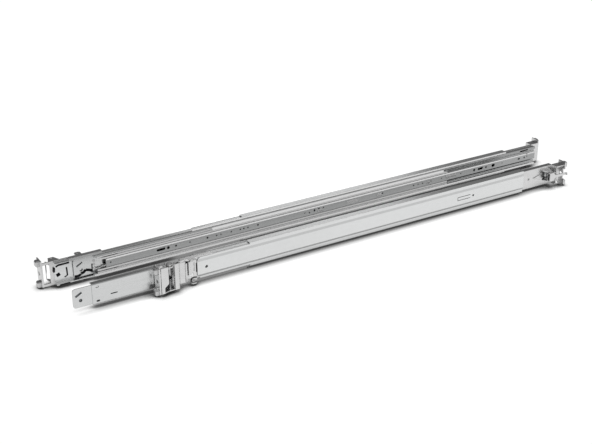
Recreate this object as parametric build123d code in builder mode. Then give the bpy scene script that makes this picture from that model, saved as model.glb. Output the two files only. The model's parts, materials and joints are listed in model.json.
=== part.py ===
from build123d import *
import math
import os

os.makedirs("parts", exist_ok=True)

# A pair of telescoping rack rails in zinc-plated steel, standing on edge side by side.
# +X runs to the front of the rack, +Z is up, the left rail is at -Y. Millimetres.
# Every piece is drawn on the left rail: X is 0 on the front flange's face and goes negative
# to the rear, Y is 0 on the sleeve's outer face and grows inboard, Z is 0 at the flange's foot.

# Where the two rails lie
rail_spacing = 94.4
rail_stagger = 33.0
left_draw = 0.0
right_draw = 160.0

# Sheet and clearances
sheet = 1.2
bracket_sheet = 1.6
flange_sheet = 2.0
middle_sheet = 1.0
cage_sheet = 0.4
running_gap = 0.3
ball_gap = 0.08
pin_gap = 0.1

# Heights
flange_height = 42.0
sleeve_height = 36.0
bracket_height = 32.0
hole_pitch = 15.875

# Lengths from the front flange
sleeve_front = -80.5
sleeve_flange_rear = -588.5
sleeve_web_rear = -672.0
cabinet_front = -16.0
cabinet_rear = -823.5
channel_front = -290.5
channel_rear = -717.0
middle_front = -18.0
middle_rear = -787.5
inner_front = -16.0
inner_rear = -805.5
outer_cage_front = -274.5
outer_cage_rear = -597.5
inner_cage_front = -310.5
inner_cage_rear = -607.5
rear_face = -735.0

# Depths across the rail
lip_step = 1.6
sleeve_reach = 12.0
channel_reach = 11.0
rail_depth = 13.6
cage_reach = 12.0
inner_reach = 8.9
ball_line = 10.4
lip_reach = 1.5

# Balls
outer_ball = 3.0
inner_ball = 2.6
balls_in_row = 5

# Rack end brackets
peg_line = -5.5
peg_width = 8.8
peg_length = 5.0
screw_hole = 5.5
front_flange_edge = -11.0
rear_flange_edge = -13.0
corner_cut = 4.0
pin_diameter = 4.0
pivot_sides = 12
front_pin_diameter = 3.6
spring_wire = 0.8
spring_sides = 6
spring_play = 0.7

# Values worked out from the sizes above
mid_z = flange_height / 2
sleeve_half = sleeve_height / 2
channel_half = sleeve_half - sheet - running_gap
cabinet_half = channel_half - sheet - running_gap
outer_ball_half = cabinet_half - sheet - ball_gap - outer_ball / 2
middle_half = outer_ball_half - outer_ball / 2 - ball_gap
inner_ball_half = middle_half - middle_sheet - ball_gap - inner_ball / 2
inner_half = inner_ball_half - inner_ball / 2 - ball_gap
channel_face = lip_step + sheet + running_gap
cabinet_face = channel_face + sheet + running_gap
outer_cage_face = cabinet_face + sheet + running_gap
middle_face = outer_cage_face + cage_sheet + running_gap
inner_cage_face = middle_face + middle_sheet + running_gap
front_plate_face = cabinet_face - bracket_sheet
rear_plate_face = channel_face - bracket_sheet

origin_x = (rail_stagger + peg_length + rear_face - right_draw + rail_stagger - peg_length) / 2


def eased(points, cut):
    """The same path with a short flat in place of each corner, as a tight bend has."""
    path = [points[0]]
    for before, corner, after in zip(points, points[1:], points[2:]):
        here = Vector(*corner)
        path.append(here + (Vector(*before) - here).normalized() * cut)
        path.append(here + (Vector(*after) - here).normalized() * cut)
    path.append(points[-1])
    return path


def rolled(points, thickness, rear, front, bend):
    """A strip of one thickness, bent along a path in YZ and run from rear to front."""
    with BuildPart() as strip:
        with BuildSketch(Plane.YZ.offset(rear)):
            with BuildLine():
                if bend:
                    Polyline(*eased(points, bend))
                else:
                    Polyline(*points)
            trace(line_width=thickness)
        extrude(amount=front - rear)
    return strip.part


def open_channel(face, half, reach, thickness, rear, front, bend):
    """A C channel that opens inboard, with its web's outer face at the given depth."""
    middle = half - thickness / 2
    web = face + thickness / 2
    points = [
        (reach, mid_z + middle),
        (web, mid_z + middle),
        (web, mid_z - middle),
        (reach, mid_z - middle),
    ]
    return rolled(points, thickness, rear, front, bend)


def punch(shape, x, rise, length, height, depth_from, depth_to):
    """A true bore, a small hole with eight flats, a slot with cut corners or a plain box."""
    with BuildPart() as cut:
        with BuildSketch(Plane.XZ.offset(-depth_from)):
            with Locations((x, mid_z + rise)):
                if shape == "bore":
                    Circle(height / 2)
                elif shape == "round":
                    RegularPolygon(height / 2, 8)
                else:
                    outline = Rectangle(length, height)
            if shape == "slot":
                chamfer(outline.vertices(), height * 0.29)
        extrude(amount=-(depth_to - depth_from))
    return cut.part


def coil(x, depth, low, high, radius, wire, turns):
    """A round spring of square wire about an upright pin, drawn as short straight chords."""
    count = turns * spring_sides
    rise = (high - low - wire) / count
    points = []
    for i in range(count + 1):
        angle = 2 * math.pi * i / spring_sides
        points.append(
            (x + radius * math.cos(angle), depth + radius * math.sin(angle), low + wire / 2 + rise * i)
        )
    with BuildPart() as spring:
        with BuildLine() as path:
            Polyline(*points)
        start = path.line.edges().sort_by(Axis.Z)[0]
        with BuildSketch(Plane(origin=points[0], z_dir=start % 0)):
            Rectangle(wire, wire)
        sweep(path=path.line, transition=Transition.RIGHT)
    return spring.part


def keep(name, piece, draw=(0.0, 0.0)):
    """Write one piece for the left rail and its mirror image for the right rail."""
    with BuildPart() as left_piece:
        with Locations((-origin_x - draw[0], -rail_spacing / 2, 0)):
            add(piece)
    left_piece.part.label = f"left_{name}"
    export_step(left_piece.part, f"parts/left_{name}.step")
    with BuildPart() as right_piece:
        with Locations((rail_stagger - origin_x - draw[1], rail_spacing / 2, 0)):
            add(mirror(piece, about=Plane.XZ, mode=Mode.PRIVATE))
    right_piece.part.label = f"right_{name}"
    export_step(right_piece.part, f"parts/right_{name}.step")


# Outer sleeve, fixed between the two rack posts
web_line = sheet / 2
lip_line = lip_step + sheet / 2
edge_line = sleeve_half - sheet / 2
groove_width = 5.0
groove_slope = 3.2
jog_low = sleeve_half - groove_width
jog_high = jog_low - groove_slope
sleeve_points = [
    (sleeve_reach, mid_z + edge_line),
    (lip_line, mid_z + edge_line),
    (lip_line, mid_z + jog_low),
    (web_line, mid_z + jog_high),
    (web_line, mid_z - jog_high),
    (lip_line, mid_z - jog_low),
    (lip_line, mid_z - edge_line),
    (sleeve_reach, mid_z - edge_line),
]
web_end_half = sleeve_half - 2.0
end_corner = 5.0
sleeve_rear_hole_x = -658.0
sleeve_front_hole_x = -185.5
tab_window_x = -204.0
tab_window_length = 25.0
tab_window_height = 6.0
slit = 0.9
spacer_diameter = 6.0
spacer_places = [-570.5, -520.5, -260.5]
with BuildPart() as sleeve:
    add(rolled(sleeve_points, sheet, sleeve_web_rear, sleeve_front, 0))
    # The flanges stop short of the web's rear end
    with BuildSketch(Plane.XZ.offset(-sleeve_reach - 1)):
        with Locations(((sleeve_web_rear + sleeve_flange_rear) / 2, mid_z)):
            Rectangle(sleeve_flange_rear - sleeve_web_rear, sleeve_height + 2)
            Rectangle(
                sleeve_flange_rear - sleeve_web_rear, 2 * web_end_half, mode=Mode.SUBTRACT
            )
    extrude(amount=sleeve_reach + 2, mode=Mode.SUBTRACT)
    rear_corners = sleeve.edges().filter_by(Axis.Y).group_by(Axis.X)[0]
    chamfer(rear_corners, end_corner)
    add(punch("round", sleeve_rear_hole_x, 0, 0, 4.6, -1, 2), mode=Mode.SUBTRACT)
    add(punch("round", sleeve_front_hole_x, 0, 0, 3.6, -1, 2), mode=Mode.SUBTRACT)
    for side in (-1, 1):
        rise = side * (tab_window_height - slit) / 2
        add(
            punch("box", tab_window_x, rise, tab_window_length, slit, -1, 2),
            mode=Mode.SUBTRACT,
        )
    add(
        punch("box", tab_window_x - tab_window_length / 2, 0, slit, tab_window_height, -1, 2),
        mode=Mode.SUBTRACT,
    )
keep("sleeve", sleeve.part)

# Cabinet member, the outermost member of the ball slide
cabinet_lip = lip_reach
cabinet_edge = rail_depth - sheet / 2
cabinet_line = cabinet_half - sheet / 2
cabinet_web = cabinet_face + sheet / 2
cabinet_points = [
    (cabinet_edge, mid_z + cabinet_line - cabinet_lip),
    (cabinet_edge, mid_z + cabinet_line),
    (cabinet_web, mid_z + cabinet_line),
    (cabinet_web, mid_z - cabinet_line),
    (cabinet_edge, mid_z - cabinet_line),
    (cabinet_edge, mid_z - cabinet_line + cabinet_lip),
]
tail_hole_rise = 10.5
tail_hole_x = cabinet_rear + 7.5
tail_rivet_x = cabinet_rear + 2.6
tail_slot_x = cabinet_rear + 30.3
with BuildPart() as cabinet_member:
    add(rolled(cabinet_points, sheet, cabinet_rear, cabinet_front, 0.7))
    for rise in (-tail_hole_rise, tail_hole_rise):
        add(
            punch("slot", tail_hole_x, rise, 5.0, 2.6, cabinet_face - 1, cabinet_face + 2),
            mode=Mode.SUBTRACT,
        )
    add(
        punch("slot", tail_slot_x, -5.0, 10.0, 1.4, cabinet_face - 1, cabinet_face + 2),
        mode=Mode.SUBTRACT,
    )
keep("cabinet_member", cabinet_member.part)

# Spacers join the sleeve to the cabinet member, the rear two inside the channel's slot
with BuildPart() as slide_spacers:
    with BuildSketch(Plane.XZ.offset(-sheet)):
        with Locations([(x, mid_z) for x in spacer_places]):
            RegularPolygon(spacer_diameter / 2, pivot_sides)
    extrude(amount=-(cabinet_face - sheet))
keep("slide_spacers", slide_spacers.part)

# Cable arm plate on the cabinet member's rear end
tail_length = 27.0
tail_seat = 12.0
tail_half = 14.0
tail_face = cabinet_face + sheet
tail_seat_half = cabinet_half - sheet - 2 * running_gap
tail_tip = cabinet_rear - tail_length
with BuildPart() as tail_plate:
    with BuildSketch(Plane.XZ.offset(-tail_face)):
        with Locations((cabinet_rear - tail_length / 2, mid_z)):
            tip = Rectangle(tail_length, 2 * tail_half)
        fillet(tip.vertices().group_by(Axis.X)[0], 4.0)
        with Locations((cabinet_rear + tail_seat / 2, mid_z)):
            Rectangle(tail_seat, 2 * tail_seat_half)
        with Locations((tail_tip + 8.5, mid_z + 5.0)):
            Rectangle(10.0, 3.0, rotation=28, mode=Mode.SUBTRACT)
        with Locations((tail_tip + 10.8, mid_z - 4.0)):
            Circle(2.4, mode=Mode.SUBTRACT)
        with Locations([(tail_hole_x, mid_z + r) for r in (-tail_hole_rise, tail_hole_rise)]):
            Rectangle(5.0, 2.6, mode=Mode.SUBTRACT)
    extrude(amount=-sheet)
keep("tail_plate", tail_plate.part)

# Its rivets: flush outboard, where the channel passes, and headed inboard
with BuildPart() as tail_rivets:
    with BuildSketch(Plane.XZ.offset(-tail_face - sheet)):
        with Locations([(tail_rivet_x, mid_z + r) for r in (-5.5, 0, 5.5)]):
            RegularPolygon(1.9, 8)
    extrude(amount=-0.8)
keep("tail_rivets", tail_rivets.part)

# Front bracket: one plate bent outboard into the flange that meets the rack post
plate_half = bracket_height / 2
plate_rear = -124.5
plate_hole_x = -67.0
boss_x = -48.0
front_pin_x = -28.5
front_pin_depth = -1.0
front_window = (-36.5, -20.5)
latch_sheet = 1.2
latch_line = front_flange_edge + 1.4
wall_x = -17.6
wall_edge = latch_line + latch_sheet / 2 + 2 * running_gap
front_window_half = 7.5
ear_sheet = 1.4
ear_reach = front_pin_depth - 3.6
notch_half = 9.0
front_screw_depth = -2.6
notch_depth = 4.0
with BuildPart() as front_bracket:
    with BuildSketch(Plane.XZ.offset(-front_plate_face)):
        with Locations((plate_rear / 2, mid_z)):
            Rectangle(-plate_rear, bracket_height)
        with Locations((sum(front_window) / 2, mid_z)):
            Rectangle(
                front_window[1] - front_window[0], 2 * front_window_half, mode=Mode.SUBTRACT
            )
        with Locations((plate_hole_x, mid_z)):
            RegularPolygon(2.0, 8, mode=Mode.SUBTRACT)
    extrude(amount=-bracket_sheet)
    # Flange, with a notch for the latch and cut corners
    with BuildSketch(Plane.YZ.offset(-flange_sheet)):
        with Locations(((front_flange_edge + cabinet_face) / 2, mid_z)):
            flange = Rectangle(cabinet_face - front_flange_edge, flange_height)
        chamfer(flange.vertices().group_by(Axis.Y)[0], corner_cut)
        with Locations((front_flange_edge + notch_depth / 2, mid_z)):
            Rectangle(notch_depth, 2 * notch_half, mode=Mode.SUBTRACT)
        with Locations((front_screw_depth, mid_z)):
            Circle(screw_hole / 2, mode=Mode.SUBTRACT)
    extrude(amount=flange_sheet)
    # Ears of the latch pin, turned out of the window
    for low in (mid_z + front_window_half, mid_z - front_window_half - ear_sheet):
        with BuildSketch(Plane.XY.offset(low)):
            with BuildLine():
                Polyline(
                    (front_window[0], front_plate_face),
                    (front_pin_x - 3.6, ear_reach),
                    (front_pin_x + 3.6, ear_reach),
                    (front_window[1], front_plate_face),
                    close=True,
                )
            make_face()
        extrude(amount=ear_sheet)
    # Long tapered boss that stiffens the plate
    with BuildSketch(Plane.XZ.offset(-front_plate_face)):
        with Locations((boss_x, mid_z)):
            Trapezoid(12.0, 20.0, 75, rotation=90)
    extrude(amount=1.4, taper=25)
    # Wall behind the flange and the shelf that joins the two
    with BuildSketch(Plane.YZ.offset(wall_x)):
        with Locations(((wall_edge + front_plate_face) / 2, mid_z)):
            wall = Rectangle(front_plate_face - wall_edge, bracket_height)
        chamfer(wall.vertices().group_by(Axis.Y)[0].sort_by(Axis.Z)[0], corner_cut)
    extrude(amount=bracket_sheet)
    with BuildSketch(Plane.XY.offset(mid_z + plate_half - bracket_sheet)):
        with Locations(((wall_x - flange_sheet) / 2, (wall_edge + front_plate_face) / 2)):
            Rectangle(-flange_sheet - wall_x, front_plate_face - wall_edge)
    extrude(amount=bracket_sheet)
    # Bend root inside the corner
    with BuildSketch(Plane.XY.offset(mid_z - plate_half)):
        with BuildLine():
            Polyline(
                (-flange_sheet - 2.0, front_plate_face),
                (-flange_sheet, front_plate_face),
                (-flange_sheet, front_plate_face - 2.0),
                close=True,
            )
        make_face()
    extrude(amount=bracket_height)
keep("front_bracket", front_bracket.part)

# Rivets between the sleeve and the front bracket
front_rivet_places = [-107.0, -97.0]
with BuildPart() as front_rivets:
    with BuildSketch(Plane.XZ.offset(-sheet)):
        with Locations([(x, mid_z) for x in front_rivet_places]):
            RegularPolygon(2.2, 8)
    extrude(amount=-(front_plate_face - sheet))
keep("front_rivets", front_rivets.part)

# Pegs that stand in the rack's square holes
with BuildPart() as front_pegs:
    with BuildSketch(Plane.YZ):
        with Locations([(peg_line, mid_z + r) for r in (-hole_pitch, hole_pitch)]):
            Rectangle(peg_width, peg_width)
    extrude(amount=peg_length)
    chamfer(front_pegs.edges().filter_by(Axis.X), 1.2)
    chamfer(front_pegs.edges().group_by(Axis.X)[-1], 1.4)
keep("front_pegs", front_pegs.part)

# Front latch pin, seated between the ears
with BuildPart() as front_latch_pin:
    with BuildSketch(Plane.XY.offset(mid_z - front_window_half)):
        with Locations((front_pin_x, front_pin_depth)):
            Circle(front_pin_diameter / 2)
    extrude(amount=2 * front_window_half)
keep("front_latch_pin", front_latch_pin.part)

# Front latch: a hook that reaches through the flange's notch and holds the rack post
lug_gap = 0.4
latch_half = front_window_half - lug_gap
nose_x = 4.4
latch_rear = front_pin_x - 4.0
lug_front = front_pin_x + 8.0
latch_points = [
    (nose_x, latch_line - 1.6),
    (nose_x - 2.0, latch_line),
    (latch_rear, latch_line),
    (latch_rear - 5.0, latch_line - 3.0),
]
with BuildPart() as front_latch:
    with BuildSketch(Plane.XY.offset(mid_z - latch_half)):
        with BuildLine():
            Polyline(*latch_points)
        trace(line_width=latch_sheet)
    extrude(amount=2 * latch_half)
    for low in (mid_z - latch_half, mid_z + latch_half - latch_sheet):
        with BuildSketch(Plane.XY.offset(low)):
            with BuildLine():
                Polyline(
                    (latch_rear, latch_line),
                    (lug_front, latch_line),
                    (front_pin_x + 3.4, front_pin_depth + 1.0),
                    (front_pin_x + 1.4, front_pin_depth + 3.2),
                    (front_pin_x - 1.4, front_pin_depth + 3.2),
                    (front_pin_x - 3.4, front_pin_depth + 1.0),
                    close=True,
                )
            make_face()
            with Locations((front_pin_x, front_pin_depth)):
                Circle(front_pin_diameter / 2 + pin_gap, mode=Mode.SUBTRACT)
        extrude(amount=latch_sheet)
keep("front_latch", front_latch.part)

# Its spring, round the pin between the lugs
front_spring_radius = front_pin_diameter / 2 + spring_wire / 2 + spring_play
front_spring_low = mid_z - latch_half + latch_sheet + running_gap
front_spring_high = mid_z + latch_half - latch_sheet - running_gap
keep(
    "front_latch_spring",
    coil(
        front_pin_x,
        front_pin_depth,
        front_spring_low,
        front_spring_high,
        front_spring_radius,
        spring_wire,
        4,
    ),
)

# Extension channel, which draws out of the sleeve's rear end with the rear bracket
draw_most = 188.0
slot_play = 0.5
slot_rear = spacer_places[0] - spacer_diameter / 2 - slot_play
slot_front = spacer_places[1] + spacer_diameter / 2 + slot_play + draw_most
slot_height = spacer_diameter + running_gap
with BuildPart() as extension_channel:
    add(
        open_channel(
            channel_face, channel_half, channel_reach, sheet, channel_rear, channel_front, 1.0
        )
    )
    add(
        punch(
            "slot",
            (slot_rear + slot_front) / 2,
            0,
            slot_front - slot_rear,
            slot_height,
            channel_face - 1,
            channel_face + 2,
        ),
        mode=Mode.SUBTRACT,
    )
draws = (left_draw, right_draw)
keep("extension_channel", extension_channel.part, draws)

# Rear bracket: plate, flange, ears of the latch pin and the strip over the channel
rear_plate_front = sleeve_web_rear - running_gap
rear_window = (rear_face + 2.6, rear_face + 12.6)
rear_window_half = 14.5
rear_pin_x = rear_face + 18.6
rear_pin_depth = -5.0
strip_rear = rear_face + 39.0
strip_front = rear_face + 87.0
strip_reach = 8.0
lug_rear = rear_plate_front - 12.0
lug_length = 9.0
lug_edge = -6.5
with BuildPart() as rear_bracket:
    with BuildSketch(Plane.XZ.offset(-rear_plate_face)):
        with Locations(((rear_face + rear_plate_front) / 2, mid_z)):
            Rectangle(rear_plate_front - rear_face, sleeve_height)
        with Locations((sum(rear_window) / 2, mid_z)):
            Rectangle(
                rear_window[1] - rear_window[0], 2 * rear_window_half, mode=Mode.SUBTRACT
            )
        with Locations((rear_plate_front - 4.0, mid_z + 4.0)):
            Rectangle(1.6, 13.0, mode=Mode.SUBTRACT)
        with Locations((rear_plate_front - 9.0, mid_z - 8.0)):
            Rectangle(8.0, 4.0, rotation=30, mode=Mode.SUBTRACT)
    extrude(amount=-bracket_sheet)
    with BuildSketch(Plane.YZ.offset(rear_face)):
        with Locations(((rear_flange_edge + channel_face) / 2, mid_z)):
            flange = Rectangle(channel_face - rear_flange_edge, flange_height)
        chamfer(flange.vertices().group_by(Axis.Y)[0], corner_cut)
        with Locations((peg_line, mid_z)):
            Circle(screw_hole / 2, mode=Mode.SUBTRACT)
    extrude(amount=flange_sheet)
    for low in (mid_z + sleeve_half - ear_sheet, mid_z - sleeve_half):
        with BuildSketch(Plane.XY.offset(low)):
            with BuildLine():
                Polyline(
                    (rear_pin_x - 7.0, rear_plate_face),
                    (rear_pin_x - 4.0, rear_pin_depth - 4.0),
                    (rear_pin_x + 4.0, rear_pin_depth - 4.0),
                    (rear_pin_x + 9.0, rear_plate_face),
                    close=True,
                )
            make_face()
            with Locations((rear_pin_x, rear_pin_depth)):
                RegularPolygon(pin_diameter / 2 + pin_gap, pivot_sides, mode=Mode.SUBTRACT)
        extrude(amount=ear_sheet)
    with BuildSketch(Plane.XY.offset(mid_z + channel_half)):
        with Locations(((strip_rear + strip_front) / 2, (rear_plate_face + strip_reach) / 2)):
            Rectangle(strip_front - strip_rear, strip_reach - rear_plate_face)
    extrude(amount=sleeve_half - channel_half)
    # Raised rib beside the finger lever
    with BuildSketch(Plane.XZ.offset(-rear_plate_face)):
        with Locations((rear_plate_front - 12.0, mid_z + 4.0)):
            Rectangle(5.0, 22.0)
    extrude(amount=2.4, taper=25)
    # Two lugs turned out at the plate's front end
    for low in (mid_z + sleeve_half - ear_sheet, mid_z - sleeve_half):
        with BuildSketch(Plane.XY.offset(low)):
            with Locations((lug_rear + lug_length / 2, (lug_edge + rear_plate_face) / 2)):
                lug = Rectangle(lug_length, rear_plate_face - lug_edge)
            chamfer(lug.vertices().group_by(Axis.Y)[0], 2.0)
            with Locations((lug_rear + lug_length / 2, (lug_edge + rear_plate_face) / 2)):
                RegularPolygon(1.3, 8, mode=Mode.SUBTRACT)
        extrude(amount=ear_sheet)
keep("rear_bracket", rear_bracket.part, draws)

# Rear pegs, which point away to the rear post
with BuildPart() as rear_pegs:
    with BuildSketch(Plane.YZ.offset(rear_face)):
        with Locations([(peg_line, mid_z + r) for r in (-hole_pitch, hole_pitch)]):
            Rectangle(peg_width, peg_width)
    extrude(amount=-peg_length)
    chamfer(rear_pegs.edges().filter_by(Axis.X), 1.2)
    chamfer(rear_pegs.edges().group_by(Axis.X)[0], 1.4)
keep("rear_pegs", rear_pegs.part, draws)

# Rear latch pin with its domed knob above the latch
latch_low = mid_z - sleeve_half + ear_sheet + running_gap
latch_high = mid_z + sleeve_half + running_gap + latch_sheet
rear_pin_low = mid_z - sleeve_half - running_gap
knob_low = latch_high + running_gap
knob_height = 3.4
knob_radius = 4.2
with BuildPart() as rear_latch_pin:
    with BuildSketch(Plane.XY.offset(rear_pin_low)):
        with Locations((rear_pin_x, rear_pin_depth)):
            Circle(pin_diameter / 2)
    extrude(amount=knob_low - rear_pin_low)
    with BuildSketch(Plane.XY.offset(knob_low)):
        with Locations((rear_pin_x, rear_pin_depth)):
            RegularPolygon(knob_radius, pivot_sides)
    extrude(amount=knob_height)
    chamfer(rear_latch_pin.edges().group_by(Axis.Z)[-1], 1.4)
keep("rear_latch_pin", rear_latch_pin.part, draws)

# Rear latch: hook plate behind the flange, two lugs on the pin and a folded finger grip
hook_line = rear_flange_edge - 0.8
hook_rear = rear_face + 2.4
hook_front = rear_face + 13.0
hook_foot_front = rear_face + 7.0
hook_step_low = mid_z - 8.0
hook_step_high = mid_z - 3.0
latch_top = latch_high + 2.5
grip_line = hook_line + 2.8
grip_foot = mid_z - 9.0
grip_start = (rear_face + 22.8, grip_line + 2.0)
grip_crease = rear_face + 30.8
grip_front = rear_face + 41.0
grip_rear_points = [
    grip_start,
    (grip_start[0] + 1.4, grip_line),
    (grip_crease - 1.3, grip_line),
    (grip_crease, grip_line + 1.4),
]
grip_front_points = [
    (grip_crease, grip_line + 1.4),
    (grip_crease + 1.3, grip_line),
    (grip_front - 2.5, grip_line),
    (grip_front, grip_line + 3.4),
]
with BuildPart() as rear_latch:
    with BuildSketch(Plane.XZ.offset(-(hook_line - latch_sheet / 2))):
        with BuildLine():
            Polyline(
                (hook_rear, latch_low),
                (hook_foot_front, latch_low),
                (hook_foot_front, hook_step_low),
                (hook_front, hook_step_high),
                (hook_front, latch_top),
                (hook_rear, latch_top),
                close=True,
            )
        make_face()
    extrude(amount=-latch_sheet)
    for points, foot in ((grip_rear_points, latch_low), (grip_front_points, grip_foot)):
        with BuildSketch(Plane.XY.offset(foot)):
            with BuildLine():
                Polyline(*points)
            trace(line_width=latch_sheet)
        extrude(amount=latch_top - foot)
    with BuildSketch(Plane.XY.offset(latch_low)):
        with BuildLine():
            Polyline(
                (hook_rear, hook_line),
                (hook_foot_front, hook_line),
                (rear_pin_x - 3.0, grip_line),
                (grip_crease - 1.3, grip_line),
                (grip_crease - 1.3, grip_line + 2.6),
                (rear_pin_x + 4.0, rear_pin_depth + 3.4),
                (rear_pin_x - 4.0, rear_pin_depth + 3.4),
                (hook_rear, hook_line + 4.6),
                close=True,
            )
        make_face()
        with Locations((rear_pin_x, rear_pin_depth)):
            Circle(pin_diameter / 2 + pin_gap, mode=Mode.SUBTRACT)
    extrude(amount=latch_sheet)
    with BuildSketch(Plane.XY.offset(latch_high - latch_sheet)):
        with BuildLine():
            Polyline(
                (hook_rear, hook_line),
                (hook_front, hook_line),
                (grip_start[0], grip_start[1] - 0.4),
                (grip_start[0], grip_start[1] + 1.0),
                (rear_pin_x + 3.0, rear_pin_depth + 3.4),
                (rear_pin_x - 3.0, rear_pin_depth + 3.4),
                (hook_rear, hook_line + 4.6),
                close=True,
            )
        make_face()
        with Locations((rear_pin_x, rear_pin_depth)):
            Circle(pin_diameter / 2 + pin_gap, mode=Mode.SUBTRACT)
    extrude(amount=latch_sheet)
keep("rear_latch", rear_latch.part, draws)

# Its spring, round the lower half of the pin
rear_spring_radius = pin_diameter / 2 + spring_wire / 2 + spring_play
keep(
    "rear_latch_spring",
    coil(
        rear_pin_x,
        rear_pin_depth,
        latch_low + latch_sheet + running_gap,
        mid_z + 2.0,
        rear_spring_radius,
        spring_wire,
        5,
    ),
    draws,
)

# Middle member, with its edges turned out behind the balls
middle_line = middle_half - middle_sheet / 2
middle_web = middle_face + middle_sheet / 2
middle_edge = rail_depth - middle_sheet / 2
middle_lip = 1.0
middle_points = [
    (middle_edge, mid_z + middle_line + middle_lip),
    (middle_edge, mid_z + middle_line),
    (middle_web, mid_z + middle_line),
    (middle_web, mid_z - middle_line),
    (middle_edge, mid_z - middle_line),
    (middle_edge, mid_z - middle_line - middle_lip),
]
with BuildPart() as middle_member:
    add(rolled(middle_points, middle_sheet, middle_rear, middle_front, 0.6))
keep("middle_member", middle_member.part)

# Inner member, which carries the server and opens outboard
inner_line = inner_half - sheet / 2
inner_web = rail_depth - sheet / 2
inner_points = [
    (inner_reach, mid_z + inner_line),
    (inner_web, mid_z + inner_line),
    (inner_web, mid_z - inner_line),
    (inner_reach, mid_z - inner_line),
]
inner_slots = [
    (-722.0, 0.0, 13.0, 3.0),
    (-394.0, 1.0, 22.0, 3.4),
    (-199.0, 0.5, 20.0, 3.4),
    (-136.5, 0.0, 10.5, 3.4),
    (-51.5, 0.0, 5.0, 3.0),
]
inner_holes = [
    (-698.5, 0.0, 2.4),
    (-648.0, 0.0, 2.4),
    (-464.0, 0.0, 3.0),
    (-275.0, 0.0, 2.6),
    (-124.0, 0.0, 3.0),
    (-108.5, 0.0, 5.6),
    (-39.5, 0.0, 3.0),
]
server_hole = 4.4
server_hole_places = [-710.5, -149.5]
with BuildPart() as inner_member:
    add(rolled(inner_points, sheet, inner_rear, inner_front, 1.0))
    for x in server_hole_places:
        add(
            punch("bore", x, 0, server_hole, server_hole, rail_depth - 2, rail_depth + 1),
            mode=Mode.SUBTRACT,
        )
    for x, rise, length, height in inner_slots:
        add(
            punch("slot", x, rise, length, height, rail_depth - 2, rail_depth + 1),
            mode=Mode.SUBTRACT,
        )
    for x, rise, size in inner_holes:
        add(
            punch("round", x, rise, size, size, rail_depth - 2, rail_depth + 1),
            mode=Mode.SUBTRACT,
        )
keep("inner_member", inner_member.part)


def cage(face, row_half, rear, front, ball):
    """A thin retainer with a row of windows for the balls along each edge."""
    pitch = (front - rear) / balls_in_row
    with BuildPart() as strip:
        add(open_channel(face, row_half + cage_sheet / 2, cage_reach, cage_sheet, rear, front, 0))
        with BuildSketch(Plane.XY.offset(mid_z - row_half - cage_sheet)):
            with Locations(((rear + front) / 2, ball_line)):
                with GridLocations(pitch, 1, balls_in_row, 1):
                    Rectangle(ball + 2 * ball_gap, ball + 2 * ball_gap)
        extrude(amount=2 * row_half + 2 * cage_sheet, mode=Mode.SUBTRACT)
    return strip.part


def ball_rows(row_half, rear, front, ball):
    """The balls of one cage, each drawn with flats all round."""
    pitch = (front - rear) / balls_in_row
    with BuildPart() as rows:
        for rise in (-row_half, row_half):
            with Locations(((rear + front) / 2, ball_line, mid_z + rise)):
                with GridLocations(pitch, 1, balls_in_row, 1):
                    Box(ball, ball, ball)
        chamfer(rows.edges(), ball * 0.29)
    return rows.part


keep(
    "outer_cage",
    cage(outer_cage_face, outer_ball_half, outer_cage_rear, outer_cage_front, outer_ball),
)
keep(
    "outer_balls",
    ball_rows(outer_ball_half, outer_cage_rear, outer_cage_front, outer_ball),
)
keep(
    "inner_cage",
    cage(inner_cage_face, inner_ball_half, inner_cage_rear, inner_cage_front, inner_ball),
)
keep(
    "inner_balls",
    ball_rows(inner_ball_half, inner_cage_rear, inner_cage_front, inner_ball),
)

# Release tab of the inner member, on its own pivot near the front
tab_pivot_x = -61.5
tab_face = rail_depth - sheet - running_gap - 1.0
tab_length = 26.0
pivot_diameter = 2.4
with BuildPart() as release_tab:
    with BuildSketch(Plane.XZ.offset(-tab_face)):
        with BuildLine():
            Polyline(
                (tab_pivot_x - 5.0, mid_z - 1.6),
                (tab_pivot_x - 3.0, mid_z - 2.6),
                (tab_pivot_x + 4.0, mid_z - 2.2),
                (tab_pivot_x + tab_length, mid_z - 1.2),
                (tab_pivot_x + tab_length, mid_z + 1.6),
                (tab_pivot_x + 6.0, mid_z + 2.0),
                (tab_pivot_x - 3.0, mid_z + 2.6),
                (tab_pivot_x - 5.0, mid_z + 1.6),
                close=True,
            )
        make_face()
        with Locations((tab_pivot_x, mid_z)):
            RegularPolygon(pivot_diameter / 2 + pin_gap, pivot_sides, mode=Mode.SUBTRACT)
    extrude(amount=-1.0)
keep("release_tab", release_tab.part)

with BuildPart() as release_tab_rivet:
    with BuildSketch(Plane.XZ.offset(-tab_face + 0.8)):
        with Locations((tab_pivot_x, mid_z)):
            RegularPolygon(2.0, 8)
    extrude(amount=-0.6)
    with BuildSketch(Plane.XZ.offset(-tab_face + 0.2)):
        with Locations((tab_pivot_x, mid_z)):
            RegularPolygon(pivot_diameter / 2, pivot_sides)
    extrude(amount=-(rail_depth - sheet - tab_face + 0.2))
keep("release_tab_rivet", release_tab_rivet.part)

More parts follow.
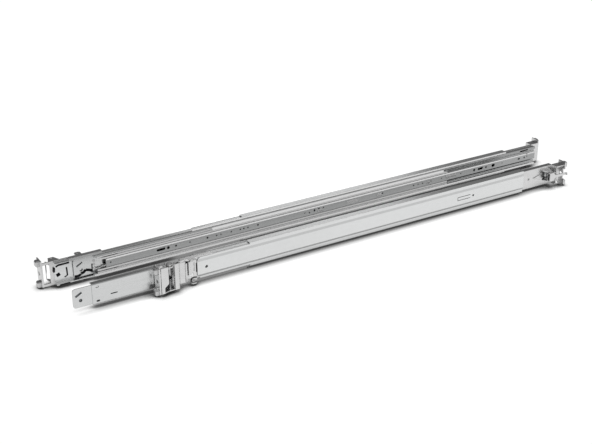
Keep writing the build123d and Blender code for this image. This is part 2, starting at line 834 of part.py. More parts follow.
# Lock lever of the middle member, inside the inner member's channel
lever_pivot_x = -94.5
lever_face = middle_face + middle_sheet + running_gap
with BuildPart() as lock_lever:
    with BuildSketch(Plane.XZ.offset(-lever_face)):
        with BuildLine():
            Polyline(
                (lever_pivot_x - 12.0, mid_z - 1.0),
                (lever_pivot_x - 4.0, mid_z - 2.8),
                (lever_pivot_x + 4.0, mid_z - 2.8),
                (lever_pivot_x + 16.0, mid_z - 1.2),
                (lever_pivot_x + 16.0, mid_z + 2.2),
                (lever_pivot_x + 10.0, mid_z + 2.2),
                (lever_pivot_x - 4.0, mid_z + 2.8),
                (lever_pivot_x - 12.0, mid_z + 1.6),
                close=True,
            )
        make_face()
        with Locations((lever_pivot_x, mid_z)):
            RegularPolygon(pivot_diameter / 2 + pin_gap, pivot_sides, mode=Mode.SUBTRACT)
    extrude(amount=-1.0)
keep("lock_lever", lock_lever.part)

with BuildPart() as lock_lever_rivet:
    with BuildSketch(Plane.XZ.offset(-middle_face - middle_sheet)):
        with Locations((lever_pivot_x, mid_z)):
            RegularPolygon(pivot_diameter / 2, pivot_sides)
    extrude(amount=-1.4)
    with BuildSketch(Plane.XZ.offset(-middle_face - middle_sheet - 1.4)):
        with Locations((lever_pivot_x, mid_z)):
            RegularPolygon(2.0, 8)
    extrude(amount=-0.6)
keep("lock_lever_rivet", lock_lever_rivet.part)
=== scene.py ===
import json
import math

import bmesh
import bpy
from mathutils import Matrix, Vector


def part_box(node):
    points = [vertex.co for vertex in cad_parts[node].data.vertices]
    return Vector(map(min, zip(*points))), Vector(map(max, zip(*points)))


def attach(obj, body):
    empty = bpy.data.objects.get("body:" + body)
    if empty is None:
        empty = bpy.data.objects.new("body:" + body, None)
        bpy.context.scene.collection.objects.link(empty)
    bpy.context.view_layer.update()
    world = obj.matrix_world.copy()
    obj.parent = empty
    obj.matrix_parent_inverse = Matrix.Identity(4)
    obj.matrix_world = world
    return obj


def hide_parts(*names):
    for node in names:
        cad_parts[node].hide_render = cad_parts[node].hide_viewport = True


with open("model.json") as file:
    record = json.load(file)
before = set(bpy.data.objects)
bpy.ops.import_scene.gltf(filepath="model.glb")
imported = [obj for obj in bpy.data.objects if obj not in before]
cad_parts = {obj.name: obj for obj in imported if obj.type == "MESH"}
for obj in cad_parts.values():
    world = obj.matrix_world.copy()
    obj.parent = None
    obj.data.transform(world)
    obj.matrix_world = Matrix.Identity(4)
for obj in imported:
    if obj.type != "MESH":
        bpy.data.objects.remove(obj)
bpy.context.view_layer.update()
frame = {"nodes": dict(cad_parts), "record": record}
nodes = frame["nodes"]
print("frame loaded,", len(nodes), "nodes")

mm = 0.001
sides = ("left", "right")


def hexColour(text):  # sRGB hex to the linear colour that the shaders want
    values = [int(text[i : i + 2], 16) / 255 for i in (0, 2, 4)]
    linear = [v / 12.92 if v <= 0.04045 else ((v + 0.055) / 1.055) ** 2.4 for v in values]
    return (*linear, 1.0)


def addNode(tree, kind, settings=None, links=None):  # one node, its settings and what feeds it
    node = tree.nodes.new(kind)
    for name, value in (settings or {}).items():
        if name in node.inputs:
            node.inputs[name].default_value = value
        else:
            setattr(node, name, value)
    for name, source in (links or {}).items():
        tree.links.new(source, node.inputs[name])
    return node


def newMaterial(name):
    material = bpy.data.materials.new(name)
    material.use_nodes = True
    tree = material.node_tree
    tree.nodes.clear()
    output = addNode(tree, "ShaderNodeOutputMaterial")
    shader = addNode(tree, "ShaderNodeBsdfPrincipled")
    tree.links.new(shader.outputs["BSDF"], output.inputs["Surface"])
    return material, tree, shader


# Cold-rolled steel under bright electroplated zinc, and the hardened steel parts on it. The rolls
# leave a fine grain along the strip, which stretches reflections, and the plating clouds a little.
# "grain" is how far the roughness swings, "cloud" how much darker the cloudy patches are.
zincLook = {
    # smooth zinc coated sheet: a broad soft mirror
    "galvanised_sleeve": {"colour": "DEDFDF", "rough": 0.30, "grain": 0.03, "cloud": 0.03},
    # roll-formed and plated: sharper, with clear lines along the rail
    "zinc_member": {"colour": "D0D1D1", "rough": 0.22, "grain": 0.06, "cloud": 0.05},
    # pressed and bent after rolling: the grain is weaker, the clouds are stronger
    "zinc_bracket": {"colour": "DADADA", "rough": 0.26, "grain": 0.04, "cloud": 0.08},
    # a lighter copy of the zinc that paints a highlight on the rolled edges and the bridges: the
    # lightest lines on the rail
    "bright_zinc": {"colour": "F4F4F4", "rough": 0.24, "grain": 0.02, "cloud": 0.02},
    # passivated and oiled where the slide runs: the same sheen, greyer
    "dull_member": {"colour": "A4A5A5", "rough": 0.24, "grain": 0.05, "cloud": 0.05},
    # turned and plated
    "steel_pegs": {"colour": "C4C4C4", "rough": 0.28, "grain": 0.02, "cloud": 0.05},
    # thin strip, punched and folded
    "ball_cage": {"colour": "D8D8D8", "rough": 0.30, "grain": 0.05, "cloud": 0.03},
    # ground and polished: small sharp highlights
    "bearing_balls": {"colour": "D8D8D8", "rough": 0.12, "grain": 0.0, "cloud": 0.0},
    # oil-tempered wire: dark grey, soft shine
    "spring_steel": {"colour": "6A6C6E", "rough": 0.38, "grain": 0.03, "cloud": 0.06},
    # black oxide: nearly black, with a dull shine at the edges; it also colours the painted shadow
    # strips at the rail ends
    "blackened_steel": {"colour": "1E1E20", "rough": 0.45, "grain": 0.03, "cloud": 0.06},
    # cold headed, then plated
    "rivet_steel": {"colour": "BEBEBE", "rough": 0.28, "grain": 0.0, "cloud": 0.06},
}
# Finishes of the scene alone, each with the slot of the record that it belongs to
plating = {
    "grainPitch": 1.4 * mm,  # real rolling lines are near 0.1 mm, drawn coarser so that they show
    "grainStretch": 0.02,  # of the pitch across, along the strip
    "grainDetail": 1.0,
    "grainRoughness": 0.4,
    "grainRange": (0.25, 0.75),
    "grainDepth": 0.03 * mm,
    "grainStrength": 0.10,
    "cloudSize": 9 * mm,
    "cloudDetail": 4.0,
    "cloudRoughness": 0.55,
    "cloudDepth": 2.2,
    "edgeRound": 0.35 * mm,  # sheared edges are worn round by tumbling and plating
    "edgeSamples": 4,
}


def zincMaterial(name, look):
    material, tree, shader = newMaterial(name)
    place = addNode(tree, "ShaderNodeTexCoord")
    along = addNode(
        tree,
        "ShaderNodeMapping",
        {"Scale": (plating["grainStretch"], 1, 1)},
        {"Vector": place.outputs["Object"]},
    )
    grain = addNode(
        tree,
        "ShaderNodeTexNoise",
        {
            "Scale": 1 / plating["grainPitch"],
            "Detail": plating["grainDetail"],
            "Roughness": plating["grainRoughness"],
        },
        {"Vector": along.outputs["Vector"]},
    )
    cloud = addNode(
        tree,
        "ShaderNodeTexNoise",
        {
            "Scale": 1 / plating["cloudSize"],
            "Detail": plating["cloudDetail"],
            "Roughness": plating["cloudRoughness"],
        },
        {"Vector": place.outputs["Object"]},
    )
    base = hexColour(look["colour"])
    dark = [c * (1 - plating["cloudDepth"] * look["cloud"]) for c in base[:3]] + [1]
    colour = addNode(
        tree, "ShaderNodeMix", {"data_type": "RGBA"}, {"Factor": cloud.outputs["Fac"]}
    )
    colour.inputs[6].default_value = dark  # 6 and 7 are the node's two colours
    colour.inputs[7].default_value = base
    tree.links.new(colour.outputs[2], shader.inputs["Base Color"])
    low, high = plating["grainRange"]
    rough = addNode(
        tree,
        "ShaderNodeMapRange",
        {
            "From Min": low,
            "From Max": high,
            "To Min": look["rough"] - look["grain"],
            "To Max": look["rough"] + look["grain"],
        },
        {"Value": grain.outputs["Fac"]},
    )
    tree.links.new(rough.outputs["Result"], shader.inputs["Roughness"])
    edge = addNode(
        tree,
        "ShaderNodeBevel",
        {"samples": plating["edgeSamples"], "Radius": plating["edgeRound"]},
    )
    bump = addNode(
        tree,
        "ShaderNodeBump",
        {"Strength": plating["grainStrength"], "Distance": plating["grainDepth"]},
        {"Height": grain.outputs["Fac"], "Normal": edge.outputs["Normal"]},
    )
    tree.links.new(bump.outputs["Normal"], shader.inputs["Normal"])
    shader.inputs["Metallic"].default_value = 1.0
    return material


materials = {name: zincMaterial(name, look) for name, look in zincLook.items()}
slotOf = {s["node"]: s["material_slot"] for s in frame["record"]["subparts"]}
for name, node in nodes.items():
    node.data.materials.clear()
    node.data.materials.append(materials[slotOf[name]])
print("metals done")

# Places on a rail are X from the front flange's face, depth from the sleeve's outer face and rise
# from the rail's middle line, in mm. The right rail is the mirror image, further forward, and its
# rear extension is drawn out.
rail = {
    "originX": -414.5,
    "spacing": 94.4,
    "stagger": {"left": 0.0, "right": 33.0},
    "draw": {"left": 0.0, "right": 160.0},
    "middle": 21.0,
    "rearFace": -735.0,  # of the rear flange, where the extension isn't drawn out
}
bodyOf = {n: b for b, members in frame["record"]["behaviour"]["bodies"].items() for n in members}


def spot(side, x, depth, rise, drawn=False):  # rail place to metres in the frame
    x += rail["stagger"][side] - rail["originX"] - (rail["draw"][side] if drawn else 0)
    y = rail["spacing"] / 2 - depth
    return Vector((x, y if side == "right" else -y, rail["middle"] + rise)) * mm


def skin(mesh, near, far):  # closes two matching rings of corners into a solid
    mesh.faces.new(near)
    mesh.faces.new(list(reversed(far)))
    for a, b, c, d in zip(near, far, far[1:] + far[:1], near[1:] + near[:1]):
        mesh.faces.new((a, b, c, d))


def addPlate(mesh, side, outline, depths, drawn=False):  # outline in X and rise
    rings = [[mesh.verts.new(spot(side, x, d, r, drawn)) for x, r in outline] for d in depths]
    skin(mesh, *rings)


def addRun(mesh, side, outline, ends):  # outline in depth and rise, run along X
    rings = [[mesh.verts.new(spot(side, x, d, r)) for d, r in outline] for x in ends]
    skin(mesh, *rings)


def addPost(mesh, side, outline, rises):  # outline in X and depth, between two rises
    rings = [[mesh.verts.new(spot(side, x, d, r)) for x, d in outline] for r in rises]
    skin(mesh, *rings)


roundSides = 20


def roundOutline(x, rise, width, height=None, turn=0.0):  # a hole, or a slot with round ends
    height = height or width
    half = max(width - height, 0) / 2
    tilt = math.radians(turn)
    points = []
    for i in range(roundSides):
        angle = 2 * math.pi * (i + 0.5) / roundSides
        px = math.cos(angle) * height / 2 + math.copysign(half, math.cos(angle))
        pr = math.sin(angle) * height / 2
        points.append(
            (
                x + px * math.cos(tilt) - pr * math.sin(tilt),
                rise + px * math.sin(tilt) + pr * math.cos(tilt),
            )
        )
    return points


def strokeOutline(points, width):  # the outline of a bent strip of one width, in X and rise
    left, right = [], []
    for i, (x, rise) in enumerate(points):
        before = Vector(points[max(i - 1, 0)])
        after = Vector(points[min(i + 1, len(points) - 1)])
        along = (after - before).normalized()
        off = Vector((-along.y, along.x)) * width / 2
        left.append((x + off.x, rise + off.y))
        right.append((x - off.x, rise - off.y))
    return left + right[::-1]


smoothUpTo = math.radians(40)


def finishPiece(mesh, name, finish, body, replaced=(), smooth=False):
    bmesh.ops.recalc_face_normals(mesh, faces=mesh.faces)
    data = bpy.data.meshes.new(name)
    mesh.to_mesh(data)
    mesh.free()
    piece = bpy.data.objects.new(name, data)
    bpy.context.scene.collection.objects.link(piece)
    data.materials.append(materials[finish])
    if smooth:
        data.shade_smooth()
        data.set_sharp_from_angle(angle=smoothUpTo)
    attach(piece, body)
    if replaced:
        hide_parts(*replaced)


weldGap = 0.001 * mm  # corners of the faces that lie closer than this are one


def pierced(node, cutters, name, finish):  # a copy of a node's shape with more openings
    source = bmesh.new()
    source.from_mesh(nodes[node].data)
    bmesh.ops.remove_doubles(source, verts=source.verts, dist=weldGap)
    bmesh.ops.recalc_face_normals(source, faces=source.faces)
    blank = bpy.data.meshes.new(name)
    source.to_mesh(blank)
    source.free()
    piece = bpy.data.objects.new(name, blank)
    bmesh.ops.recalc_face_normals(cutters, faces=cutters.faces)
    tool = bpy.data.objects.new(name + "_tool", bpy.data.meshes.new(name + "_tool"))
    cutters.to_mesh(tool.data)
    cutters.free()
    for item in (piece, tool):
        bpy.context.scene.collection.objects.link(item)
    cut = piece.modifiers.new("openings", "BOOLEAN")
    cut.object = tool
    cut.operation = "DIFFERENCE"
    cut.solver = "EXACT"
    graph = bpy.context.evaluated_depsgraph_get()
    data = bpy.data.meshes.new_from_object(piece.evaluated_get(graph))
    piece.modifiers.clear()
    piece.data = data
    bpy.data.objects.remove(tool)
    data.materials.clear()
    data.materials.append(materials[finish])
    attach(piece, bodyOf[node])
    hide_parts(node)


# Ball retainers: thin strip with a window for each ball, and a folded rim above and below that
# leans back, so that its face looks up and shows as a bright line
retainer = {
    "outer": {
        "ballRise": 12.22,
        "ball": 3.0,
        "ends": (-597.5, -274.5),
        "face": 6.1,
        "rim": (10.95, 13.5),
    },
    "inner": {
        "ballRise": 8.26,
        "ball": 2.6,
        "ends": (-607.5, -310.5),
        "face": 8.1,
        "rim": (7.15, 9.4),
    },
    "sheet": 0.4,
    "ballDepth": 10.4,
    "ballsInRow": 15,
    "ballRoom": 0.3,  # on each side of a ball in its window
    "ballFacets": (20, 12),
    "rimBack": 12.0,
    "rimFront": 13.3,
    "rimNose": 0.2,  # rise of the foremost edge over the rim's lower side
    "rimTop": 0.1,  # how far the rim's upper side stands out
    "rimEnds": (-818.0, -205.0),
}


def buildRetainer(side, kind):
    make = retainer[kind]
    rear, front = make["ends"]
    pitch = (front - rear) / retainer["ballsInRow"]
    centres = [rear + pitch * (i + 0.5) for i in range(retainer["ballsInRow"])]
    window = make["ball"] / 2 + retainer["ballRoom"]
    steps = [rear, *(x + w for x in centres for w in (-window, window)), front]
    node = f"{side}_{kind}_cage"
    bottom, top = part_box(node)
    half = (top[2] - bottom[2]) / 2 / mm
    face, back = make["face"], retainer["rimBack"]
    mesh = bmesh.new()
    for sign in (-1, 1):
        edge, inside = sign * half, sign * (half - retainer["sheet"])
        web = [
            (face, edge),
            (face + retainer["sheet"], edge),
            (face + retainer["sheet"], 0),
            (face, 0),
        ]
        addRun(mesh, side, web, (rear, front))
        for between in zip(steps[0::2], steps[1::2]):
            lip = [(face, inside), (back, inside), (back, edge), (face, edge)]
            addRun(mesh, side, lip, between)
        low, high = sorted(sign * rise for rise in make["rim"])
        rim = [
            (back, low),
            (retainer["rimFront"], low + retainer["rimNose"]),
            (back + retainer["rimTop"], high),
            (back, high),
        ]
        addRun(mesh, side, rim, retainer["rimEnds"])
    finishPiece(mesh, f"{node}_strip", "ball_cage", bodyOf[node], (node,))
    around, upward = retainer["ballFacets"]
    balls = bmesh.new()
    for sign in (-1, 1):
        for x in centres:
            centre = spot(side, x, retainer["ballDepth"], sign * make["ballRise"])
            bmesh.ops.create_uvsphere(
                balls,
                u_segments=around,
                v_segments=upward,
                radius=make["ball"] / 2 * mm,
                matrix=Matrix.Translation(centre),
            )
    node = f"{side}_{kind}_balls"
    finishPiece(balls, f"{node}_round", "bearing_balls", bodyOf[node], (node,), smooth=True)


for side in sides:
    for kind in ("outer", "inner"):
        buildRetainer(side, kind)
print("retainers done")

# Rolled edges of the lips. Each leans back by so many degrees and shows as a bright line along the
# rail, lit by its lean and by the lighter bright_zinc colour, which paints a highlight on it; but
# for the three at the front, which are nearly upright and stay grey.
rolledEdge = {
    "edges": [
        {"node": "sleeve", "rises": (15.8, 18.0), "lean": 24},
        {
            "node": "cabinet_member",
            "rises": (10.8, 14.0),
            "lean": 28,
            "rear": -640.0,
            "front": -215.0,
        },
        {
            "node": "cabinet_member",
            "rises": (11.6, 14.0),
            "lean": 2,
            "rear": -215.0,
            "finish": "dull_member",
        },
        {
            "node": "middle_member",
            "rises": (7.3, 9.8),
            "lean": 2,
            "rear": -205.0,
            "finish": "dull_member",
        },
        {
            "node": "middle_member",
            "rises": (-9.8, -7.3),
            "lean": 8,
            "rear": -205.0,
            "finish": "dull_member",
        },
        {"node": "cabinet_member", "rises": (-14.9, -12.6), "lean": 36},
        {"node": "inner_member", "rises": (4.8, 6.8), "lean": 28},
    ],
    "root": 0.2,  # let into the lip
    "skin": 0.1,  # proud of the lip at the top
    "nose": 0.1,  # rise of the foremost edge over the foot
    "endGap": 0.4,  # short of the member's end
}


def buildRolledEdge(side, number, edge):
    node = f"{side}_{edge['node']}"
    low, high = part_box(node)
    face = rail["spacing"] / 2 - min(abs(low[1]), abs(high[1])) / mm
    foot, top = edge["rises"]
    reach = rolledEdge["skin"] + (top - foot) * math.tan(math.radians(edge["lean"]))
    root = face - rolledEdge["root"]
    section = [
        (root, foot),
        (face + reach, foot + rolledEdge["nose"]),
        (face + rolledEdge["skin"], top),
        (root, top),
    ]
    start = spot(side, 0, 0, 0).x
    rear = edge.get("rear", (low[0] - start) / mm + rolledEdge["endGap"])
    front = edge.get("front", (high[0] - start) / mm - rolledEdge["endGap"])
    mesh = bmesh.new()
    addRun(mesh, side, section, (rear, front))
    # bright_zinc paints a highlight along the edge
    finish = edge.get("finish", "bright_zinc")
    finishPiece(mesh, f"{node}_edge_{number}", finish, bodyOf[node])


for side in sides:
    for number, edge in enumerate(rolledEdge["edges"]):
        buildRolledEdge(side, number, edge)
print("rolled edges done")

# Inner member: every hole that shows in the web, and bridges pressed out of it that catch the
# light, with a highlight painted on them by the lighter bright_zinc colour
innerWeb = {
    "holes": [  # x, rise and width
        (-798.6, 0, 2.2),
        (-698.4, 0, 3.0),
        (-676.1, 0, 2.0),
        (-647.9, 0, 3.0),
        (-632.8, 0, 2.4),
        (-625.8, 0, 2.0),
        (-608.7, 0, 2.2),
        (-593.6, 0, 2.2),
        (-587.6, 0, 2.4),
        (-580.6, 0, 2.2),
        (-563.5, 0, 2.8),
        (-481.5, 0, 2.0),
        (-473.0, -1.5, 2.4),
        (-464.0, 1.0, 2.8),
        (-456.0, 1.5, 2.8),
        (-447.6, 1.5, 2.0),
        (-275.0, 0, 2.4),
        (-266.0, 0, 2.2),
        (-257.0, 0, 2.4),
        (-239.8, 0, 2.0),
        (-218.2, 0, 1.8),
        (-177.9, 0, 2.0),
        (-124.1, 0, 3.4),
        (-89.0, 0, 1.8),
        (-39.3, 0, 3.2),
        (-33.5, 1.0, 2.0),
    ],
    "slots": [  # x, rise, length, width and turn in degrees
        (-340.0, 0, 10.5, 2.0, 4),
        (-136.3, 0, 11.0, 3.8, 6),
        (-108.5, 0, 7.0, 5.2, 8),
        (-722.0, 0, 13.4, 3.6, 2),
    ],
    "depths": (11.9, 14.2),
    "bridges": [  # x, rise and length
        (-394.0, 0.2, 22.0),
        (-199.0, 0.3, 20.0),
        (-343.0, -0.5, 9.0),
        (-454.0, -1.8, 9.0),
        (-246.0, -1.2, 6.0),
    ],
    "bridgeSection": [(12.5, 2.2), (13.7, 2.2), (15.2, -2.0), (13.6, -2.6), (12.5, -2.6)],
}


def buildInnerWeb(side):
    tool = bmesh.new()
    for place in innerWeb["holes"] + innerWeb["slots"]:
        addPlate(tool, side, roundOutline(*place), innerWeb["depths"])
    pierced(f"{side}_inner_member", tool, f"{side}_inner_web", "dull_member")
    mesh = bmesh.new()
    for x, rise, length in innerWeb["bridges"]:
        section = [(depth, rise + r) for depth, r in innerWeb["bridgeSection"]]
        addRun(mesh, side, section, (x - length / 2, x + length / 2))
    # bright_zinc paints a highlight on the bridges
    finishPiece(mesh, f"{side}_web_bridges", "bright_zinc", bodyOf[f"{side}_inner_member"])


for side in sides:
    buildInnerWeb(side)
print("inner webs done")

# Coil springs of round wire about the latch pins, where the solids have square wire
spring = {
    "turns": {"front_latch_spring": 4, "rear_latch_spring": 6},
    "wire": 0.8 * mm,
    "stepsInTurn": 16,
    "wireFacets": 3,
}


def buildSpring(side, kind, turns):
    node = f"{side}_{kind}"
    low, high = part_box(node)
    wire = spring["wire"]
    radius = (high[0] - low[0] - wire) / 2
    x, y = (low[0] + high[0]) / 2, (low[1] + high[1]) / 2
    curve = bpy.data.curves.new(f"{node}_wire", "CURVE")
    curve.dimensions = "3D"
    curve.bevel_depth = wire / 2
    curve.bevel_resolution = spring["wireFacets"]
    curve.use_fill_caps = True
    line = curve.splines.new("POLY")
    steps = turns * spring["stepsInTurn"]
    line.points.add(steps)
    for i, point in enumerate(line.points):
        angle = 2 * math.pi * i / spring["stepsInTurn"]
        rise = low[2] + wire / 2 + (high[2] - low[2] - wire) * i / steps
        point.co = (x + radius * math.cos(angle), y + radius * math.sin(angle), rise, 1)
    piece = bpy.data.objects.new(f"{node}_wire", curve)
    bpy.context.scene.collection.objects.link(piece)
    curve.materials.append(materials["spring_steel"])
    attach(piece, bodyOf[node])
    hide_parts(node)


for side in sides:
    for kind, turns in spring["turns"].items():
        buildSpring(side, kind, turns)
print("springs done")

# Painted shadow: thin blackened strips and dots laid on the faces of the ends, where slits, gaps
# and holes lie in shade. X is from "face" and "drawn" says that they ride on the rear extension.
paintedShadows = {
    "left_rear_clips": {
        "face": rail["rearFace"],
        "drawn": True,
        "strips": [
            {"depths": (1.2, 1.5), "line": [(62.0, -5.3), (62.2, 8.4)], "width": 1.0},
            {
                "depths": (1.1, 1.5),
                "line": [(53.0, -16.4), (54.8, -12.8), (58.0, -12.2), (62.0, -13.0)],
                "width": 1.7,
            },
            {"depths": (0.9, 1.5), "round": (46.6, 13.6), "width": 3.4},
            {"depths": (-9.4, -8.6), "line": [(8.6, 0.4), (13.0, 1.0), (20.0, 3.0)], "width": 3.4},
            {"depths": (-9.4, -8.6), "line": [(10.0, -4.0), (10.4, -9.4)], "width": 2.4},
        ],
    },
    "right_rear_clips": {
        "face": rail["rearFace"],
        "drawn": True,
        "strips": [
            {
                "depths": (4.3, 4.45),
                "line": [(20.5, 8.6), (24.0, 10.4), (40.0, 10.6)],
                "width": 2.6,
            },
            {"depths": (4.3, 4.45), "line": [(17.6, 1.0), (18.3, 8.4)], "width": 2.8},
            {"depths": (4.3, 4.45), "line": [(20.6, -5.0), (25.6, -2.6)], "width": 5.0},
            {
                "depths": (4.3, 4.45),
                "line": [(35.6, 4.6), (36.0, -7.6), (31.8, -9.6)],
                "width": 2.2,
            },
            {"depths": (11.0, 11.2), "line": [(22.0, -16.2), (37.0, -15.9)], "width": 1.4},
        ],
    },
    "right_tail_clips": {
        "face": 0.0,
        "drawn": False,
        "strips": [
            {
                "depths": (7.0, 7.15),
                "line": [(-850.0, -11.6), (-844.7, -12.0), (-840.8, -10.3)],
                "width": 3.8,
            },
            {
                "depths": (7.0, 7.15),
                "line": [(-840.8, -9.4), (-836.3, -8.2), (-833.5, -5.0)],
                "width": 4.2,
            },
            {
                "depths": (7.0, 7.15),
                "line": [(-833.5, -5.4), (-827.4, -7.2), (-824.2, -9.4)],
                "width": 4.0,
            },
            {"depths": (7.0, 7.15), "line": [(-824.2, -10.8), (-823.8, 1.6)], "width": 1.7},
        ],
    },
    "right_front_clips": {
        "face": 0.0,
        "drawn": False,
        "strips": [
            {"depths": (13.6, 14.2), "line": [(-50.0, 12.7), (-33.0, 13.4)], "width": 2.0},
            {"depths": (13.6, 14.2), "line": [(-36.0, 5.4), (-33.0, 5.2)], "width": 2.6},
        ],
    },
}


def buildPaintedShadows(name, group):
    side = name.split("_")[0]
    mesh = bmesh.new()
    for strip in group["strips"]:
        if "round" in strip:
            x, rise = strip["round"]
            outline = roundOutline(group["face"] + x, rise, strip["width"])
        else:
            line = [(group["face"] + x, rise) for x, rise in strip["line"]]
            outline = strokeOutline(line, strip["width"])
        addPlate(mesh, side, outline, strip["depths"], group["drawn"])
    body = f"{side}_rear_extension" if group["drawn"] else "fixed_rails"
    # the blackened strips paint the shadow in the gaps
    finishPiece(mesh, name, "blackened_steel", body)


for name, group in paintedShadows.items():
    buildPaintedShadows(name, group)

# The right rail's rear latch stands lower over its rail than the left one's, and its hook is
# narrower. The shares are of the solid's height over the middle line and of its hook's length.
lowLatch = {
    "heights": {"right_rear_latch": 0.5, "right_rear_latch_pin": 0.76},
    "hookRoot": rail["rearFace"] + 13.0,
    "hookShare": 0.12,
}


def buildLowLatch(node, share):
    middle = spot("right", lowLatch["hookRoot"], 0, 0, drawn=True)
    mesh = bmesh.new()
    mesh.from_mesh(nodes[node].data)
    for vertex in mesh.verts:
        vertex.co.z -= max(vertex.co.z - middle.z, 0) * (1 - share)
        vertex.co.x += max(middle.x - vertex.co.x, 0) * (1 - lowLatch["hookShare"])
    finishPiece(mesh, f"{node}_low", slotOf[node], bodyOf[node], (node,))


for node, share in lowLatch["heights"].items():
    buildLowLatch(node, share)

# Painted shade: a dark grey sheet behind the left tail plate's openings, so that they show dark
shadeBacking = {
    "outline": [(-849.5, -9.5), (-833, -9.5), (-833, 8.5), (-849.5, 8.5)],
    "depths": (7.4, 8.2),
}
plate = bmesh.new()
addPlate(plate, "left", shadeBacking["outline"], shadeBacking["depths"])
# dark grey sheet: painted shade in the openings
finishPiece(plate, "left_tail_shade_backing", "spring_steel", "fixed_rails")

# Front latch: the arm narrows to a tongue that passes the flange's notch. The arm's outline is in X
# and rise, and those of its lugs, its tip and the fold across it are in X and depth.
frontLatch = {
    "arm": [
        (-32.0, -6.9),
        (-25.0, -6.9),
        (-20.0, -2.4),
        (4.2, -1.8),
        (4.2, 1.8),
        (-20.0, 2.4),
        (-25.0, 6.9),
        (-32.0, 6.9),
    ],
    "armDepths": (-10.2, -9.0),
    "lug": [(-32.5, -9.6), (-20.5, -9.6), (-25.1, 0.0), (-27.1, 2.2), (-29.9, 2.2), (-31.9, 0.0)],
    "lugRises": ((-7.1, -5.9), (5.9, 7.1)),
    "tip": [(3.0, -10.2), (4.2, -10.2), (4.2, -12.4), (3.4, -12.4)],
    "tipRises": (-1.8, 1.8),
    "fold": [(-29.2, -10.2), (-28.2, -11.0), (-27.2, -10.2)],
    "foldRises": (-6.9, 6.9),
}


def buildFrontLatch(side):
    mesh = bmesh.new()
    addPlate(mesh, side, frontLatch["arm"], frontLatch["armDepths"])
    for rises in frontLatch["lugRises"]:
        addPost(mesh, side, frontLatch["lug"], rises)
    addPost(mesh, side, frontLatch["tip"], frontLatch["tipRises"])
    addPost(mesh, side, frontLatch["fold"], frontLatch["foldRises"])
    node = f"{side}_front_latch"
    finishPiece(mesh, f"{node}_arm", "zinc_bracket", bodyOf[node], (node,))


for side in sides:
    buildFrontLatch(side)
print("clips and latches done")

# Floor and light. The sweep is white, and the studio is bright behind the camera and grey past the
# rails, which is what the plating mirrors on its sides and on its top faces.
stage = {
    "white": "FFFFFF",
    "floorSize": 30.0,
    "floorDrop": 0.2 * mm,  # keeps the floor off the undersides that stand on it
    "floorWhite": 1.24,  # seen by the camera, with the share that the sheen takes
    "floorInMetal": 1.08,
    "shadowReach": 20 * mm,  # the thin dark line where a rail meets the floor
    "shadowDark": 0.05,
    "shadowInMetal": 0.40,
    "shadowFrom": 0.40,
    "shadowTo": 0.93,
    "shadowSamples": 16,
    "gapReach": 140 * mm,  # the strip between the rails gets little light
    "gapFrom": 0.30,
    "gapTo": 0.60,
    "gapDark": 0.22,
    "mirror": 0.18,
    "mirrorBlur": 0.09,
    "skyBehindCamera": 0.95,
    "skyPastRails": 0.20,
    "skyTop": 0.45,
    "skyTurn": (-0.6, 0.6),  # Y of the direction, from behind the camera to past the rails
    "skyRise": (0.5, 0.95),  # Z of the direction, from the sides to the top
}
boxes = {  # soft boxes: place, aim, size and power in watts
    "frontBox": {"place": (-0.9, -2.0, 1.6), "aim": (0, 0, 0), "size": (1.6, 0.7), "power": 9},
    "backBox": {
        "place": (0.80, 1.45, 0.80),
        "aim": (0, 0, 0),
        "size": (0.75, 0.42),
        "power": 1.1,
    },
}


def floorMaterial():
    material = bpy.data.materials.new("white_floor")
    material.use_nodes = True
    tree = material.node_tree
    tree.nodes.clear()
    white = hexColour(stage["white"])
    paint = addNode(tree, "ShaderNodeBsdfDiffuse", {"Color": white})
    path = addNode(tree, "ShaderNodeLightPath")
    whiteLevel = addNode(
        tree,
        "ShaderNodeMapRange",
        {"To Min": stage["floorInMetal"], "To Max": stage["floorWhite"]},
        {"Value": path.outputs["Is Camera Ray"]},
    )
    darkLevel = addNode(
        tree,
        "ShaderNodeMapRange",
        {"To Min": stage["shadowInMetal"], "To Max": stage["shadowDark"]},
        {"Value": path.outputs["Is Camera Ray"]},
    )
    contact = addNode(
        tree,
        "ShaderNodeAmbientOcclusion",
        {"samples": stage["shadowSamples"], "Distance": stage["shadowReach"]},
    )
    shade = addNode(
        tree,
        "ShaderNodeMapRange",
        {"From Min": stage["shadowFrom"], "From Max": stage["shadowTo"]},
        {
            "Value": contact.outputs["AO"],
            "To Min": darkLevel.outputs["Result"],
            "To Max": whiteLevel.outputs["Result"],
        },
    )
    around = addNode(
        tree,
        "ShaderNodeAmbientOcclusion",
        {"samples": stage["shadowSamples"], "Distance": stage["gapReach"]},
    )
    gap = addNode(
        tree,
        "ShaderNodeMapRange",
        {"From Min": stage["gapFrom"], "From Max": stage["gapTo"], "To Min": stage["gapDark"]},
        {"Value": around.outputs["AO"]},
    )
    level = addNode(tree, "ShaderNodeMath", {"operation": "MULTIPLY"})
    tree.links.new(shade.outputs["Result"], level.inputs[0])
    tree.links.new(gap.outputs["Result"], level.inputs[1])
    glow = addNode(
        tree, "ShaderNodeEmission", {"Color": white}, {"Strength": level.outputs["Value"]}
    )
    sheen = addNode(
        tree, "ShaderNodeBsdfGlossy", {"Color": white, "Roughness": stage["mirrorBlur"]}
    )
    seen = addNode(tree, "ShaderNodeMixShader", {"Fac": stage["mirror"]})
    tree.links.new(glow.outputs["Emission"], seen.inputs[1])
    tree.links.new(sheen.outputs["BSDF"], seen.inputs[2])
    direct = addNode(tree, "ShaderNodeMath", {"operation": "MAXIMUM"})
    tree.links.new(path.outputs["Is Camera Ray"], direct.inputs[0])
    tree.links.new(path.outputs["Is Glossy Ray"], direct.inputs[1])
    both = addNode(tree, "ShaderNodeMixShader", None, {"Fac": direct.outputs["Value"]})
    tree.links.new(paint.outputs["BSDF"], both.inputs[1])
    tree.links.new(seen.outputs["Shader"], both.inputs[2])
    addNode(tree, "ShaderNodeOutputMaterial", None, {"Surface": both.outputs["Shader"]})
    return material


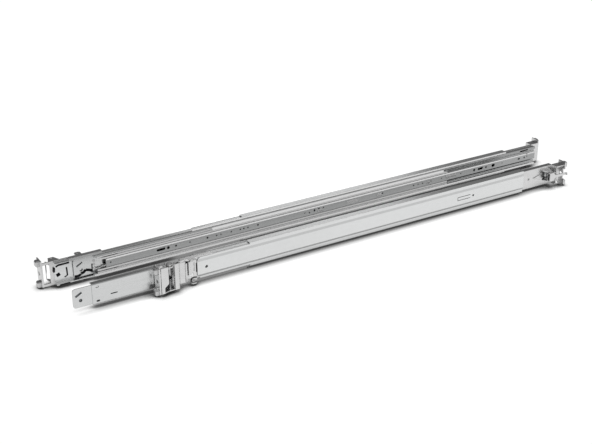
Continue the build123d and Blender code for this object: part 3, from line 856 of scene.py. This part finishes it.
def buildFloor():
    mesh = bpy.data.meshes.new("floor")
    half = stage["floorSize"] / 2
    corners = [(-half, -half, 0), (half, -half, 0), (half, half, 0), (-half, half, 0)]
    mesh.from_pydata(corners, [], [(0, 1, 2, 3)])
    mesh.materials.append(floorMaterial())
    floor = bpy.data.objects.new("floor", mesh)
    bpy.context.scene.collection.objects.link(floor)
    floor.location.z = -stage["floorDrop"]


def buildWorld():
    world = bpy.data.worlds.new("studio")
    bpy.context.scene.world = world
    world.use_nodes = True
    tree = world.node_tree
    tree.nodes.clear()
    place = addNode(tree, "ShaderNodeTexCoord")
    split = addNode(tree, "ShaderNodeSeparateXYZ", None, {"Vector": place.outputs["Generated"]})
    low, high = stage["skyTurn"]
    across = addNode(
        tree,
        "ShaderNodeMapRange",
        {
            "interpolation_type": "SMOOTHSTEP",
            "From Min": low,
            "From Max": high,
            "To Min": stage["skyBehindCamera"],
            "To Max": stage["skyPastRails"],
        },
        {"Value": split.outputs["Y"]},
    )
    low, high = stage["skyRise"]
    height = addNode(
        tree,
        "ShaderNodeMapRange",
        {"From Min": low, "From Max": high},
        {"Value": split.outputs["Z"]},
    )
    level = addNode(tree, "ShaderNodeMix", None, {"Factor": height.outputs["Result"]})
    tree.links.new(across.outputs["Result"], level.inputs[2])  # 2 and 3 are the node's two values
    level.inputs[3].default_value = stage["skyTop"]
    sky = addNode(tree, "ShaderNodeBackground", None, {"Strength": level.outputs[0]})
    path = addNode(tree, "ShaderNodeLightPath")
    backdrop = addNode(
        tree, "ShaderNodeBackground", {"Color": hexColour(stage["white"]), "Strength": 1.0}
    )
    both = addNode(tree, "ShaderNodeMixShader", None, {"Fac": path.outputs["Is Camera Ray"]})
    tree.links.new(sky.outputs["Background"], both.inputs[1])
    tree.links.new(backdrop.outputs["Background"], both.inputs[2])
    addNode(tree, "ShaderNodeOutputWorld", None, {"Surface": both.outputs["Shader"]})


def softLight(name, box):
    light = bpy.data.lights.new(name, "AREA")
    light.shape = "RECTANGLE"
    light.size, light.size_y = box["size"]
    light.energy = box["power"]
    lamp = bpy.data.objects.new(name, light)
    lamp.location = box["place"]
    aim = Vector(box["aim"]) - Vector(box["place"])
    lamp.rotation_euler = aim.to_track_quat("-Z", "Y").to_euler()
    bpy.context.scene.collection.objects.link(lamp)


buildFloor()
buildWorld()
for name, box in boxes.items():
    softLight(name, box)
print("stage done")

# The camera looks over the left rail's rear end, with the level and the turn of the photograph
cameraSetup = {
    "place": (-0.8494, -1.2739, 0.7189),
    "azimuth": -31.45,
    "elevation": 24.83,
    "lens": 67.52,
    "sensor": 36.0,
    "reach": 100,
}


def buildCamera():
    data = bpy.data.cameras.new("camera")
    data.sensor_width = cameraSetup["sensor"]
    data.lens = cameraSetup["lens"]
    data.clip_end = cameraSetup["reach"]
    camera = bpy.data.objects.new("camera", data)
    azimuth = math.radians(cameraSetup["azimuth"])
    elevation = math.radians(cameraSetup["elevation"])
    camera.location = cameraSetup["place"]
    camera.rotation_euler = (math.pi / 2 - elevation, 0, azimuth)
    bpy.context.scene.collection.objects.link(camera)
    bpy.context.scene.camera = camera


buildCamera()
bpy.context.scene.view_settings.view_transform = "Standard"
print("camera done")
